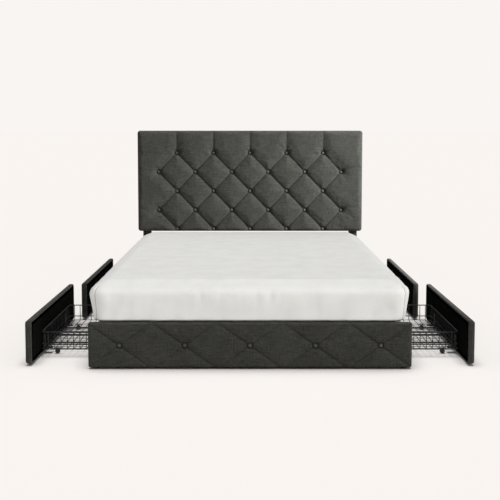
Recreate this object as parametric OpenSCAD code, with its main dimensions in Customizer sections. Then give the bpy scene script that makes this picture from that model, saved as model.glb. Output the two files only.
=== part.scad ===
// Queen-size upholstered platform bed with a tufted headboard and four rolling storage drawers.
// Millimetres, +Z up, the foot end towards -Y. The origin is on the floor at the middle of the
// bed as it stands with its drawers part open.

/* [Bed] */
// Length of the mattress
mattress_l = 2030; // [1690:10:2440]
// Width of the mattress
mattress_w = 1516; // [1350:2:1930]
// Thickness of the mattress
mattress_t = 240; // [160:5:320]
// Room between the mattress and the boards at each end
mattress_end_gap = 7.5; // [3:0.5:20]
// Room between the mattress and the closed drawer fronts on each side
mattress_side_gap = 8; // [4:0.5:20]
// Height of the feet
foot_h = 9; // [6:1:12]
// Radius of a foot
foot_r = 14; // [10:0.5:15]

/* [Headboard] */
// How far the headboard reaches past the posts on each side
headboard_overhang = 30; // [0:1:60]
// Height of the headboard's top edge above the floor
headboard_top = 1174; // [1050:2:1300]
// Height of the headboard's bottom edge above the floor
headboard_bottom = 430; // [380:2:460]
// Foam thickness on the headboard
headboard_foam = 44; // [34:1:70]
// How deep a headboard button is drawn in
headboard_button_depth = 26; // [16:1:30]
// Spacing of the buttons along a headboard row
headboard_button_pitch = 270; // [200:2:280]
// Spacing of the headboard's button rows
headboard_row_pitch = 141.5; // [120:0.5:145]
// Distance from the headboard's top edge down to its first row of buttons
headboard_first_row = 163; // [120:1:175]
// Radius of a headboard button
headboard_button_r = 12; // [8:0.5:13]
// Width of a headboard post
post_w = 60; // [50:1:80]
// Thickness of a headboard post
post_t = 30; // [20:1:45]
// Height of the top of the posts above the floor
post_top = 980; // [900:5:1040]
// Steps of the height adjustment holes
adjust_step = 40; // [30:1:50]

/* [Footboard and drawer fronts] */
// Height of the top edge of the footboard and of the drawer fronts
low_edge_z = 229; // [215:1:280]
// Thickness of the plywood boards
board_t = 18; // [12:1:22]
// Foam thickness on the footboard
footboard_foam = 31; // [20:1:45]
// How deep a footboard button is drawn in
footboard_button_depth = 8; // [5:0.5:14]
// Spacing of the footboard's buttons
footboard_button_pitch = 323; // [240:1:330]
// Radius of a footboard button
footboard_button_r = 10; // [7:0.5:12]
// How far the fabric wraps past the edge of a board
wrap_t = 8; // [4:0.5:14]
// Thickness of the dust cloth on the back of a board
cloth_t = 1; // [0.6:0.1:2]

/* [Drawers] */
// Thickness of a drawer front, padding and board together
front_t = 34; // [26:0.5:42]
// Thickness of the board inside a drawer front
front_board_t = 14; // [9:0.5:18]
// Room at each end of a drawer front and half the room between two of them
front_end_gap = 4; // [3:0.5:10]
// Depth of a wire basket, from its drawer front inwards
basket_depth = 600; // [450:5:620]
// Width of a wire basket along the bed
basket_w = 670; // [500:5:760]
// Height of a basket's rim above the floor
basket_rim_z = 134; // [110:1:162]
// Room between a basket's rim and the rails
basket_clearance = 8; // [4:1:20]
// How far the two foot-end drawers stand open
foot_drawers_open = 326; // [0:2:500]
// How far the two head-end drawers stand open
head_drawers_open = 250; // [0:2:500]
// Radius of a rim or frame wire
rim_wire_r = 3; // [2.5:0.1:3.6]
// Radius of a cross wire
cross_wire_r = 2.5; // [2:0.1:2.5]
// Radius of a thin wire
thin_wire_r = 1.9; // [1.4:0.1:1.9]
// Spacing of the thin wires
wire_pitch = 33; // [26:1:45]
// Radius of a drawer wheel
wheel_r = 13; // [10.5:0.5:16]
// Width of a drawer wheel
wheel_w = 12; // [8:0.5:16]

/* [Frame] */
// Height of a rail
rail_h = 36; // [30:1:50]
// Width of a rail
rail_w = 25; // [20:1:32]
// Wall of the steel tubes
tube_wall = 1.5; // [1:0.1:2.5]
// Number of slats
slat_count = 13; // [9:1:16]
// Width of a slat
slat_w = 68; // [50:1:90]
// Thickness of a slat
slat_t = 12; // [9:0.5:18]
// Thickness of the steel brackets
plate_t = 3; // [2:0.5:4]

/* [Hidden] */
LEFT = -1;
RIGHT = 1;
round_fn = 48;
eps = 0.01;
fit_gap = 0.2;
weld_gap = 0.5;

charcoal = [0.33, 0.33, 0.31];
dust_black = [0.07, 0.07, 0.07];
steel_black = [0.12, 0.12, 0.13];
ply = [0.76, 0.62, 0.44];
white_cloth = [0.93, 0.93, 0.91];

bed_w = mattress_w + 2 * (mattress_side_gap + front_t);
headboard_w = bed_w + 2 * headboard_overhang;

// Places along the bed, from the foot end
footboard_t = footboard_foam + board_t + cloth_t;
headboard_t = headboard_foam + board_t + cloth_t;
inner_l = mattress_l + 2 * mattress_end_gap;
post_bolt_head = 6;
bed_l = footboard_t + inner_l + headboard_t + post_t + post_bolt_head;
foot_y = -bed_l / 2;
foot_back = foot_y + footboard_t;
head_y = foot_back + inner_l;
head_back = head_y + headboard_t;
mid_y = (foot_back + head_y) / 2;

// Drawer places
front_l = (inner_l - 4 * front_end_gap) / 2;
foot_drawer_y = foot_back + front_end_gap + front_l / 2;
head_drawer_y = head_y - front_end_gap - front_l / 2;
front_h = low_edge_z - foot_h;
basket_out = front_t + 4;
basket_in = basket_out + basket_depth;
caster_inset = 70;
caster_x = [basket_out + caster_inset, basket_in - caster_inset];
caster_y = basket_w / 2 - caster_inset;
fork_plate_t = 2;
fork_gap = 1;
wheel_top_room = 2;
basket_floor_z = 2 * wheel_r + wheel_top_room + fork_plate_t;
wire_bite = 1;
floor_wire_z = basket_floor_z + rim_wire_r;
floor_thin_z = floor_wire_z + cross_wire_r + thin_wire_r - wire_bite;
wall_gap = 2.7;
wall_low_z = floor_thin_z + thin_wire_r + wall_gap;
axle_r = 2;
running_gap = 0.05;
bracket_t = 2.5;
bracket_y = basket_w / 2 - 85;
bracket_w = 40;
bracket_reach = 46;
bracket_top = basket_floor_z + 65;
screw_z = [basket_floor_z + 21, basket_floor_z + 50];
screw_r = 2;
screw_head_r = 4.5;
screw_l = 10;

// Frame places
rail_gap = 3;
rail_z = basket_rim_z + basket_clearance;
rail_out_x = bed_w / 2 - front_t - rail_gap;
rail_in_x = rail_out_x - rail_w;
rail_top = rail_z + rail_h;
slat_top = rail_top + slat_t;
slat_end_room = 8;
slat_l = 2 * (rail_out_x - slat_end_room);
slat_end_margin = 62;
slat_pitch = (inner_l - 2 * slat_end_margin) / (slat_count - 1);
post_x = bed_w / 2 - post_w / 2;
leg_y = [mid_y - inner_l * 0.32, mid_y, mid_y + inner_l * 0.32];
frame_bolt_r = 3;
frame_bolt_head_r = 6.5;
frame_bolt_head_h = 4.5;
bracket_leg = 40;
cross_rail_inset = bracket_leg + 5;
post_bolt_r = 4;
post_bolt_z = [headboard_bottom + 90, headboard_bottom + 450];
post_bolt_l = post_t + cloth_t + board_t - 2;
strap_w = 25;
strap_x = slat_l / 4;
sheet_t = 2;
mattress_z = slat_top;
mattress_corner_r = 60;

// Headboard button grid: odd rows have one button fewer and sit between the even ones
headboard_rows = 5;
even_row_buttons = 6;
footboard_button_count = 5;
function row_count(row) = even_row_buttons - 1 + row % 2;
function headboard_button_places() = [
  for (row = [0 : headboard_rows - 1])
    for (i = [0 : row_count(row) - 1])
      [(i - (row_count(row) - 1) / 2) * headboard_button_pitch,
       headboard_top - headboard_first_row - row * headboard_row_pitch]
];
function footboard_button_places() = [
  for (i = [0 : footboard_button_count - 1])
    [(i - (footboard_button_count - 1) / 2) * footboard_button_pitch, (foot_h + low_edge_z) / 2]
];

// A box from one corner to the opposite one
module block(low, high) {
  translate(low)
    cube([high[0] - low[0], high[1] - low[1], high[2] - low[2]]);
}

// A rod between two points that lie on a line along X, Y or Z
module rod(start, end, r, fn = round_fn) {
  d = end - start;
  turn = d[0] != 0 ? [0, 90, 0] : d[1] != 0 ? [-90, 0, 0] : [0, 0, 0];
  translate([min(start[0], end[0]), min(start[1], end[1]), min(start[2], end[2])])
    rotate(turn)
      cylinder(h = norm(d), r = r, $fn = fn);
}

// A wire of a basket, eight-sided
module wire(start, end, r) {
  rod(start, end, r, 8);
}

// Padding wrapped over the front and the edges of a board, open at the back
module wrapped_pad(w, low_z, high_z, front_y, foam, pockets, pocket_r, pocket_depth) {
  difference() {
    block([-w / 2, front_y, low_z], [w / 2, front_y + foam + board_t, high_z]);
    block([-w / 2 + wrap_t, front_y + foam, low_z + wrap_t],
          [w / 2 - wrap_t, front_y + foam + board_t + 1, high_z - wrap_t]);
    for (p = pockets)
      rod([p[0], front_y - 1, p[1]], [p[0], front_y + pocket_depth, p[1]], pocket_r);
  }
}

// The board inside such padding
module wrapped_board(w, low_z, high_z, front_y, foam) {
  block([-w / 2 + wrap_t + fit_gap, front_y + foam, low_z + wrap_t + fit_gap],
        [w / 2 - wrap_t - fit_gap, front_y + foam + board_t, high_z - wrap_t - fit_gap]);
}

// Dust cloth over the back of a board
module dust_cloth(w, low_z, high_z, back_y) {
  block([-w / 2 + wrap_t / 2, back_y - cloth_t, low_z + wrap_t / 2],
        [w / 2 - wrap_t / 2, back_y, high_z - wrap_t / 2]);
}

// Covered buttons: a short drum with a domed face, looking along -Y
module covered_buttons(places, r, base_y) {
  rim_h = r * 0.25;
  dome_h = r * 0.4;
  dome_r = (r * r + dome_h * dome_h) / (2 * dome_h);
  for (p = places)
    translate([p[0], base_y, p[1]])
      rotate([90, 0, 0])
        intersection() {
          cylinder(h = rim_h + dome_h, r = r, $fn = round_fn);
          translate([0, 0, rim_h + dome_h - dome_r])
            sphere(r = dome_r, $fn = round_fn);
        }
}

module headboard_pad() {
  color(charcoal)
    wrapped_pad(headboard_w, headboard_bottom, headboard_top, head_y, headboard_foam,
                headboard_button_places(), headboard_button_r + 1, headboard_button_depth);
}

module headboard_board() {
  color(ply)
    difference() {
      wrapped_board(headboard_w, headboard_bottom, headboard_top, head_y, headboard_foam);
      post_bolt_shanks(post_bolt_r + running_gap);
    }
}

module headboard_buttons() {
  color(charcoal)
    covered_buttons(headboard_button_places(), headboard_button_r,
                    head_y + headboard_button_depth);
}

module headboard_back_cloth() {
  color(dust_black)
    difference() {
      dust_cloth(headboard_w, headboard_bottom, headboard_top, head_back);
      post_bolt_shanks(post_bolt_r + 1);
    }
}

// Shanks that hold the headboard on its posts; also cuts their holes
module post_bolt_shanks(r) {
  back_y = head_back + post_t;
  for (side = [LEFT, RIGHT])
    for (z = post_bolt_z)
      rod([side * post_x, back_y - post_bolt_l, z], [side * post_x, back_y + eps, z], r);
}

module headboard_posts() {
  color(steel_black)
    difference() {
      for (side = [LEFT, RIGHT])
        block([side * post_x - post_w / 2, head_back, foot_h],
              [side * post_x + post_w / 2, head_back + post_t, post_top]);
      for (side = [LEFT, RIGHT])
        for (z = post_bolt_z)
          for (k = [-2 : 1])
            rod([side * post_x, head_back - 1, z + k * adjust_step],
                [side * post_x, head_back + post_t + 1, z + k * adjust_step],
                post_bolt_r + running_gap);
      frame_bolt_shanks(frame_bolt_r + running_gap);
    }
}

module headboard_bolts() {
  back_y = head_back + post_t;
  head_r = post_bolt_r * 2.4;
  color(steel_black)
    union() {
      post_bolt_shanks(post_bolt_r);
      for (side = [LEFT, RIGHT])
        for (z = post_bolt_z)
          translate([side * post_x, back_y, z])
            rotate([-90, 0, 0])
              cylinder(h = post_bolt_head, r = head_r, $fn = 6);
    }
}

module footboard_pad() {
  color(charcoal)
    wrapped_pad(bed_w, foot_h, low_edge_z, foot_y, footboard_foam,
                footboard_button_places(), footboard_button_r + 1, footboard_button_depth);
}

module footboard_board() {
  color(ply)
    difference() {
      wrapped_board(bed_w, foot_h, low_edge_z, foot_y, footboard_foam);
      frame_bolt_shanks(frame_bolt_r + running_gap);
    }
}

module footboard_buttons() {
  color(charcoal)
    covered_buttons(footboard_button_places(), footboard_button_r,
                    foot_y + footboard_button_depth);
}

module footboard_back_cloth() {
  color(dust_black)
    difference() {
      dust_cloth(bed_w, foot_h, low_edge_z, foot_back);
      frame_bolt_shanks(frame_bolt_r + 1);
    }
}

// Bolts of the corner brackets: [place of the shank's inner end, unit direction to the head]
function corner_bolts() = [
  for (side = [LEFT, RIGHT])
    for (bolt = [
      [[side * (rail_in_x - bracket_leg / 2), foot_back + plate_t, rail_z + rail_h / 2], [0, 1, 0]],
      [[side * (rail_in_x - plate_t), foot_back + bracket_leg * 0.65, rail_z + rail_h / 2],
       [-side, 0, 0]],
      [[side * (rail_out_x + bracket_leg * 0.45), head_back - plate_t, rail_z + rail_h / 2],
       [0, -1, 0]],
      [[side * (rail_out_x + plate_t), head_back - bracket_leg * 0.65, rail_z + rail_h / 2],
       [side, 0, 0]]
    ]) bolt
];

// Shanks that run from under the heads into the board, post or rail; also cuts their holes
module frame_bolt_shanks(r) {
  reach = plate_t + cloth_t + board_t * 0.7;
  for (b = corner_bolts())
    rod(b[0] - b[1] * reach, b[0] + b[1] * eps, r);
}

module frame_bolts() {
  color(steel_black)
    union() {
      frame_bolt_shanks(frame_bolt_r);
      for (b = corner_bolts())
        translate(b[0])
          rotate(b[1][0] != 0 ? [0, 90 * b[1][0], 0] : [-90 * b[1][1], 0, 0])
            cylinder(h = frame_bolt_head_h, r = frame_bolt_head_r, $fn = 6);
    }
}

module corner_brackets() {
  low = rail_z + 1;
  high = rail_top - 1;
  color(steel_black)
    difference() {
      for (side = [LEFT, RIGHT])
        mirror([side < 0 ? 1 : 0, 0, 0]) {
          union() {
            block([rail_in_x - bracket_leg, foot_back, low], [rail_in_x, foot_back + plate_t, high]);
            block([rail_in_x - plate_t, foot_back, low], [rail_in_x, foot_back + bracket_leg, high]);
          }
          union() {
            block([rail_out_x, head_back - plate_t, low],
                  [post_x + post_w / 2, head_back, high]);
            block([rail_out_x, head_back - bracket_leg, low],
                  [rail_out_x + plate_t, head_back, high]);
          }
        }
      frame_bolt_shanks(frame_bolt_r + running_gap);
    }
}

// Rectangular steel tube with open ends, between two opposite corners, running along axis 0 or 1
module steel_tube(low, high, axis) {
  wall = [axis == 0 ? -1 : tube_wall, axis == 1 ? -1 : tube_wall, tube_wall];
  difference() {
    block(low, high);
    block(low + wall, high - wall);
  }
}

module side_rail(side) {
  color(steel_black)
    difference() {
      mirror([side < 0 ? 1 : 0, 0, 0])
        steel_tube([rail_in_x, foot_back, rail_z], [rail_out_x, head_back, rail_top], 1);
      frame_bolt_shanks(frame_bolt_r + running_gap);
    }
}

module side_rail_left() {
  side_rail(LEFT);
}

module side_rail_right() {
  side_rail(RIGHT);
}

module cross_rail(y) {
  color(steel_black)
    steel_tube([-rail_in_x, y, rail_z], [rail_in_x, y + rail_w, rail_top], 0);
}

module foot_rail() {
  cross_rail(foot_back + cross_rail_inset);
}

module head_rail() {
  cross_rail(head_y - cross_rail_inset - rail_w);
}

module centre_rail() {
  color(steel_black)
    steel_tube([-rail_w / 2, foot_back + cross_rail_inset + rail_w, rail_z],
               [rail_w / 2, head_y - cross_rail_inset - rail_w, rail_top], 1);
}

// Places of the steel legs under the rails
function leg_places() = concat(
  [for (y = leg_y) [0, y]],
  [for (side = [LEFT, RIGHT]) [side * (rail_out_x + rail_in_x) / 2, mid_y]]
);

module support_legs() {
  color(steel_black)
    for (p = leg_places())
      difference() {
        block([p[0] - rail_w / 2, p[1] - rail_w / 2, foot_h],
              [p[0] + rail_w / 2, p[1] + rail_w / 2, rail_z]);
        block([p[0] - rail_w / 2 + tube_wall, p[1] - rail_w / 2 + tube_wall, foot_h - 1],
              [p[0] + rail_w / 2 - tube_wall, p[1] + rail_w / 2 - tube_wall, rail_z + 1]);
      }
}

// Feet under the legs, the posts and the footboard
function foot_places() = concat(
  leg_places(),
  [for (side = [LEFT, RIGHT]) [side * post_x, head_back + post_t / 2]],
  [for (side = [LEFT, RIGHT]) [side * (bed_w / 2 - 34), foot_y + footboard_t / 2]]
);

module feet() {
  chamfer = 1.5;
  color(dust_black)
    for (p = foot_places())
      translate([p[0], p[1], 0])
        rotate_extrude($fn = round_fn)
          polygon([[0, 0], [foot_r - chamfer, 0], [foot_r, chamfer], [foot_r, foot_h], [0, foot_h]]);
}

function slat_y(i) = foot_back + slat_end_margin + i * slat_pitch;

module slats() {
  color(ply)
    for (i = [0 : slat_count - 1])
      block([-slat_l / 2, slat_y(i) - slat_w / 2, rail_top],
            [slat_l / 2, slat_y(i) + slat_w / 2, slat_top]);
}

// Webbing stapled under the slats, between the two cross rails
module slat_straps() {
  color(dust_black)
    for (side = [LEFT, RIGHT])
      block([side * strap_x - strap_w / 2, slat_y(1) - slat_w / 2, rail_top - cloth_t],
            [side * strap_x + strap_w / 2, slat_y(slat_count - 2) + slat_w / 2, rail_top]);
}

// Outline of the mattress with round corners, grown by a distance
module mattress_outline(grow) {
  offset(r = mattress_corner_r + grow, $fn = 32)
    square([mattress_w - 2 * mattress_corner_r, mattress_l - 2 * mattress_corner_r], center = true);
}

module mattress() {
  color(white_cloth)
    translate([0, mid_y, mattress_z])
      linear_extrude(mattress_t)
        mattress_outline(0);
}

// Stretched over the top and sides of the mattress, open underneath
module fitted_sheet() {
  color(white_cloth)
    translate([0, mid_y, mattress_z])
      difference() {
        translate([0, 0, 4])
          linear_extrude(mattress_t - 4 + fit_gap + sheet_t)
            mattress_outline(fit_gap + sheet_t);
        translate([0, 0, -1])
          linear_extrude(mattress_t + 1 + fit_gap)
            mattress_outline(fit_gap);
      }
}

// Puts a drawer's part in place: inside it, x is 0 at the front's outer face and falls inwards,
// and y is 0 at the drawer's middle
module at_drawer(side, y, open) {
  mirror([side < 0 ? 1 : 0, 0, 0])
    translate([bed_w / 2 + open, y, 0])
      children();
}

module front_pad() {
  color(charcoal)
    difference() {
      block([-front_t, -front_l / 2, foot_h], [0, front_l / 2, low_edge_z]);
      block([-front_t - 1, -front_l / 2 + wrap_t, foot_h + wrap_t],
            [-front_t + front_board_t, front_l / 2 - wrap_t, low_edge_z - wrap_t]);
    }
}

module front_board() {
  inset = wrap_t + fit_gap;
  color(dust_black)
    difference() {
      block([-front_t, -front_l / 2 + inset, foot_h + inset],
            [-front_t + front_board_t, front_l / 2 - inset, low_edge_z - inset]);
      screw_shanks(screw_r + running_gap);
    }
}

// Wires of the basket's floor: a frame, cross wires under it and thin wires along its depth
module basket_floor() {
  side_y = basket_w / 2 - rim_wire_r;
  out_x = -basket_out - rim_wire_r;
  in_x = -basket_in + rim_wire_r;
  cross_count = 5;
  thin_count = floor((basket_w - wire_pitch) / wire_pitch);
  color(steel_black)
    union() {
      for (s = [-1, 1])
        wire([in_x - cross_wire_r, s * side_y, floor_wire_z],
             [out_x + cross_wire_r, s * side_y, floor_wire_z], rim_wire_r);
      for (i = [0 : cross_count - 1]) {
        x = in_x + (out_x - in_x) * i / (cross_count - 1);
        wire([x, -side_y, floor_wire_z], [x, side_y, floor_wire_z], cross_wire_r);
      }
      for (i = [0 : thin_count - 1]) {
        y = (i - (thin_count - 1) / 2) * wire_pitch;
        wire([in_x, y, floor_thin_z], [out_x, y, floor_thin_z], thin_wire_r);
      }
    }
}

// One upright grille in the XZ plane, its lengthways wires at y = 0 and uprights on the inner side
module grille(length, upright_count) {
  low_z = wall_low_z + cross_wire_r;
  top_z = basket_rim_z - rim_wire_r;
  mid_z = low_z + (top_z - low_z) * 0.3;
  upright_y = cross_wire_r + thin_wire_r - wire_bite / 2;
  wire([-length / 2, 0, top_z], [length / 2, 0, top_z], rim_wire_r);
  wire([-length / 2, 0, mid_z], [length / 2, 0, mid_z], cross_wire_r);
  wire([-length / 2, 0, low_z], [length / 2, 0, low_z], cross_wire_r);
  for (i = [0 : upright_count - 1]) {
    x = (i - (upright_count - 1) / 2) * wire_pitch;
    wire([x, upright_y, wall_low_z], [x, upright_y, top_z + 1], thin_wire_r);
  }
}

module basket_walls() {
  mid_x = -(basket_out + basket_in) / 2;
  long_l = basket_depth - 4 * rim_wire_r - 2 * weld_gap;
  long_count = floor((basket_depth - wire_pitch) / wire_pitch);
  end_count = floor((basket_w - wire_pitch) / wire_pitch);
  color(steel_black) {
    for (s = [0, 180])
      translate([mid_x, 0, 0])
        rotate([0, 0, s])
          translate([0, -basket_w / 2 + rim_wire_r, 0])
            grille(long_l, long_count);
    for (s = [90, -90])
      translate([mid_x, 0, 0])
        rotate([0, 0, s])
          translate([0, -basket_depth / 2 + rim_wire_r, 0])
            grille(basket_w, end_count);
  }
}

// Steel angles that carry the front on the basket
module brackets() {
  color(steel_black)
    difference() {
      for (s = [-1, 1])
        translate([-front_t, s * bracket_y, 0])
          union() {
            block([-bracket_t, -bracket_w / 2, basket_floor_z - bracket_t],
                  [0, bracket_w / 2, bracket_top]);
            block([-bracket_reach, -bracket_w / 2, basket_floor_z - bracket_t],
                  [0, bracket_w / 2, basket_floor_z]);
          }
      screw_shanks(screw_r + running_gap);
    }
}

// Shanks of the screws through the brackets into the front board; also cuts their holes
module screw_shanks(r) {
  for (s = [-1, 1])
    for (z = screw_z)
      rod([-front_t - bracket_t - eps, s * bracket_y, z], [-front_t + screw_l, s * bracket_y, z], r);
}

module screws() {
  head_h = 1.8;
  color(steel_black)
    union() {
      screw_shanks(screw_r);
      for (s = [-1, 1])
        for (z = screw_z)
          rod([-front_t - bracket_t - head_h, s * bracket_y, z],
              [-front_t - bracket_t, s * bracket_y, z], screw_head_r);
    }
}

// Fixed forks under the basket, each with its axle
module forks() {
  cheek_y = wheel_w / 2 + fork_gap;
  cheek_t = 2;
  cheek_r = wheel_r * 0.55;
  color(steel_black)
    for (x = caster_x)
      for (s = [-1, 1])
        translate([-x, s * caster_y, 0])
          union() {
            block([-18, -cheek_y - cheek_t, basket_floor_z - fork_plate_t],
                  [18, cheek_y + cheek_t, basket_floor_z]);
            for (side = [-1, 1])
              translate([0, side * (cheek_y + cheek_t / 2), 0]) {
                rod([0, -cheek_t / 2, wheel_r], [0, cheek_t / 2, wheel_r], cheek_r);
                block([-cheek_r * 0.8, -cheek_t / 2, wheel_r],
                      [cheek_r * 0.8, cheek_t / 2, basket_floor_z - fork_plate_t + eps]);
              }
            rod([0, -cheek_y - cheek_t - 1, wheel_r], [0, cheek_y + cheek_t + 1, wheel_r], axle_r);
          }
}

// A pair of wheels on one line, at the outer or the inner end of the basket
module wheels(x) {
  edge = 1.5;
  half = wheel_w / 2;
  color(dust_black)
    for (s = [-1, 1])
      translate([-x, s * caster_y, wheel_r])
        rotate([90, 0, 0])
          rotate_extrude($fn = round_fn)
            polygon([[axle_r + running_gap, -half], [wheel_r - edge, -half], [wheel_r, edge - half],
                     [wheel_r, half - edge], [wheel_r - edge, half], [axle_r + running_gap, half]]);
}

// One piece of a drawer, by its name
module drawer_piece(piece) {
  if (piece == "front_board") front_board();
  if (piece == "front_pad") front_pad();
  if (piece == "basket_floor") basket_floor();
  if (piece == "basket_walls") basket_walls();
  if (piece == "brackets") brackets();
  if (piece == "screws") screws();
  if (piece == "forks") forks();
  if (piece == "outer_wheels") wheels(caster_x[0]);
  if (piece == "inner_wheels") wheels(caster_x[1]);
}

module foot_left(piece) {
  at_drawer(LEFT, foot_drawer_y, foot_drawers_open) drawer_piece(piece);
}

module foot_right(piece) {
  at_drawer(RIGHT, foot_drawer_y, foot_drawers_open) drawer_piece(piece);
}

module head_left(piece) {
  at_drawer(LEFT, head_drawer_y, head_drawers_open) drawer_piece(piece);
}

module head_right(piece) {
  at_drawer(RIGHT, head_drawer_y, head_drawers_open) drawer_piece(piece);
}

headboard_board();
headboard_pad();
headboard_buttons();
headboard_back_cloth();
headboard_posts();
headboard_bolts();
footboard_board();
footboard_pad();
footboard_buttons();
footboard_back_cloth();
side_rail_left();
side_rail_right();
centre_rail();
foot_rail();
head_rail();
corner_brackets();
frame_bolts();
support_legs();
feet();
slats();
slat_straps();
mattress();
fitted_sheet();
foot_left("front_board");  // foot_left_front_board
foot_left("front_pad");  // foot_left_front_pad
foot_left("basket_floor");  // foot_left_basket_floor
foot_left("basket_walls");  // foot_left_basket_walls
foot_left("brackets");  // foot_left_brackets
foot_left("screws");  // foot_left_screws
foot_left("forks");  // foot_left_forks
foot_left("outer_wheels");  // foot_left_outer_wheels
foot_left("inner_wheels");  // foot_left_inner_wheels
foot_right("front_board");  // foot_right_front_board
foot_right("front_pad");  // foot_right_front_pad
foot_right("basket_floor");  // foot_right_basket_floor
foot_right("basket_walls");  // foot_right_basket_walls
foot_right("brackets");  // foot_right_brackets
foot_right("screws");  // foot_right_screws
foot_right("forks");  // foot_right_forks
foot_right("outer_wheels");  // foot_right_outer_wheels
foot_right("inner_wheels");  // foot_right_inner_wheels
head_left("front_board");  // head_left_front_board
head_left("front_pad");  // head_left_front_pad
head_left("basket_floor");  // head_left_basket_floor
head_left("basket_walls");  // head_left_basket_walls
head_left("brackets");  // head_left_brackets
head_left("screws");  // head_left_screws
head_left("forks");  // head_left_forks
head_left("outer_wheels");  // head_left_outer_wheels
head_left("inner_wheels");  // head_left_inner_wheels
head_right("front_board");  // head_right_front_board
head_right("front_pad");  // head_right_front_pad
head_right("basket_floor");  // head_right_basket_floor
head_right("basket_walls");  // head_right_basket_walls
head_right("brackets");  // head_right_brackets
head_right("screws");  // head_right_screws
head_right("forks");  // head_right_forks
head_right("outer_wheels");  // head_right_outer_wheels
head_right("inner_wheels");  // head_right_inner_wheels
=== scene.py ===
"""Upholstered platform bed: covers, bedding, wire baskets and finishes around the bed's frame."""

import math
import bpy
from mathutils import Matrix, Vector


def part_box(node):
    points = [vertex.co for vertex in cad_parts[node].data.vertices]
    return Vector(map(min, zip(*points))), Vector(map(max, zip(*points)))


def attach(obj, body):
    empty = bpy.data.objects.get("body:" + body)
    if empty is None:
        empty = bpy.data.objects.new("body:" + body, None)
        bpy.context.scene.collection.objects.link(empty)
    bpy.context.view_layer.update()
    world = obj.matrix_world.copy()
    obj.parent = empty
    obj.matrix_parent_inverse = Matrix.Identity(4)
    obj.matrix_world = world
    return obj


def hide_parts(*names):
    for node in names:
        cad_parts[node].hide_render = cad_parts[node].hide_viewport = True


bl_info = {
    "name": "Platform bed with storage drawers",
    "version": (1, 0, 0),
    "blender": (4, 5, 0),
    "location": "View3D > Sidebar > Bed",
    "description": "Makes the covers, bedding, wire baskets and finishes of a platform bed",
    "category": "Add Mesh",
}

import bpy
import numpy as np
from mathutils import Vector, noise

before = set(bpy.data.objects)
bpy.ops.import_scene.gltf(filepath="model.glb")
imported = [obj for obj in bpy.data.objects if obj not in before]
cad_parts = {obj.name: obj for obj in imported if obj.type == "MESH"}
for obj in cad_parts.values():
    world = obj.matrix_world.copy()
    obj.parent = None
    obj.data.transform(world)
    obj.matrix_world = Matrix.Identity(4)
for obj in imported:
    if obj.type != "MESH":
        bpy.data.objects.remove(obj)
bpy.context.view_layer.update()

DRAWERS = ("foot_left", "foot_right", "head_left", "head_right")
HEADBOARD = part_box("headboard_pad")
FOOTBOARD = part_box("footboard_pad")
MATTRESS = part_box("mattress")
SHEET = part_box("fitted_sheet")
SHEET_CORNER = 0.045  # radius of the sheet's upright corners
MATTRESS_CORNER = 0.056  # the same for the mattress, inside the sheet
SHEET_INSET = 0.004  # from the sheet's side in to the mattress's
SIDE_STEP = 0.016  # how far the bedding steps out over the drawer fronts
HOLD_LEVELS = 8  # steps in how firmly a seam holds the cloth
PUFF_FRAMES = 16  # frames for which the cloth puffs


# ---- settings ----


def number(label, words, value, low, high, **kind):
    """A number setting."""
    return bpy.props.FloatProperty(
        name=label, description=words, default=value, min=low, max=high, **kind)


def length(label, words, value, low, high):
    """A setting in metres."""
    return number(label, words, value, low, high, unit="LENGTH")


def colour(label, words, value):
    """A colour setting."""
    return bpy.props.FloatVectorProperty(
        name=label, description=words, default=value, subtype="COLOR", size=3, min=0.0, max=1.0)


class BedSizes(bpy.types.PropertyGroup):
    """Sizes of the soft work and the wire work."""

    cover_step: length("Cover grid", "Distance between the points of a padded cover", 0.005, 0.004, 0.02)
    headboard_edge: length("Headboard edge", "Radius of the headboard's padded edge", 0.02, 0.005, 0.04)
    headboard_sink: length(
        "Headboard tuft depth", "How deep the cover lies at a headboard button", 0.0262, 0.01, 0.04)
    footboard_edge: length("Footboard edge", "Radius of the footboard's padded edge", 0.009, 0.003, 0.03)
    footboard_sink: length(
        "Footboard quilt depth", "How deep the cover lies at a footboard button", 0.0095, 0.003, 0.02)
    front_edge: length("Drawer front edge", "Radius of a drawer front's padded edge", 0.015, 0.003, 0.02)
    mattress_edge: length(
        "Mattress edge", "Radius of the mattress's top edge under its sheet", 0.062, 0.02, 0.09)
    mattress_bulge: length(
        "Mattress bulge", "How far the mattress swells over the drawer fronts", 0.036, 0.0, 0.05)
    wire_bend: length("Wire bend", "Radius at which the basket wires are bent", 0.014, 0.006, 0.03)


class BedColours(bpy.types.PropertyGroup):
    """Colours of the finishes."""

    cloth_dark: colour("Cloth, dark yarn", "Darker yarn of the charcoal cover", (0.0112, 0.0113, 0.0098))
    cloth_light: colour("Cloth, light yarn", "Lighter yarn of the charcoal cover", (0.054, 0.0545, 0.048))
    dust_cloth: colour("Dust cloth", "Black cloth on the backs", (0.0035, 0.0035, 0.0033))
    sheet: colour("Sheet", "Cotton of the fitted sheet", (0.665, 0.668, 0.65))
    ticking: colour("Ticking", "Cover of the mattress", (0.74, 0.73, 0.7))
    steel: colour("Steel", "Powder coat of the steel", (0.016, 0.016, 0.017))
    slat: colour("Slat wood", "Wood of the slats", (0.6, 0.43, 0.25))
    board: colour("Board wood", "Plywood of the boards", (0.5, 0.35, 0.2))
    plastic: colour("Plastic", "Feet and drawer wheels", (0.012, 0.012, 0.012))


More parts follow.
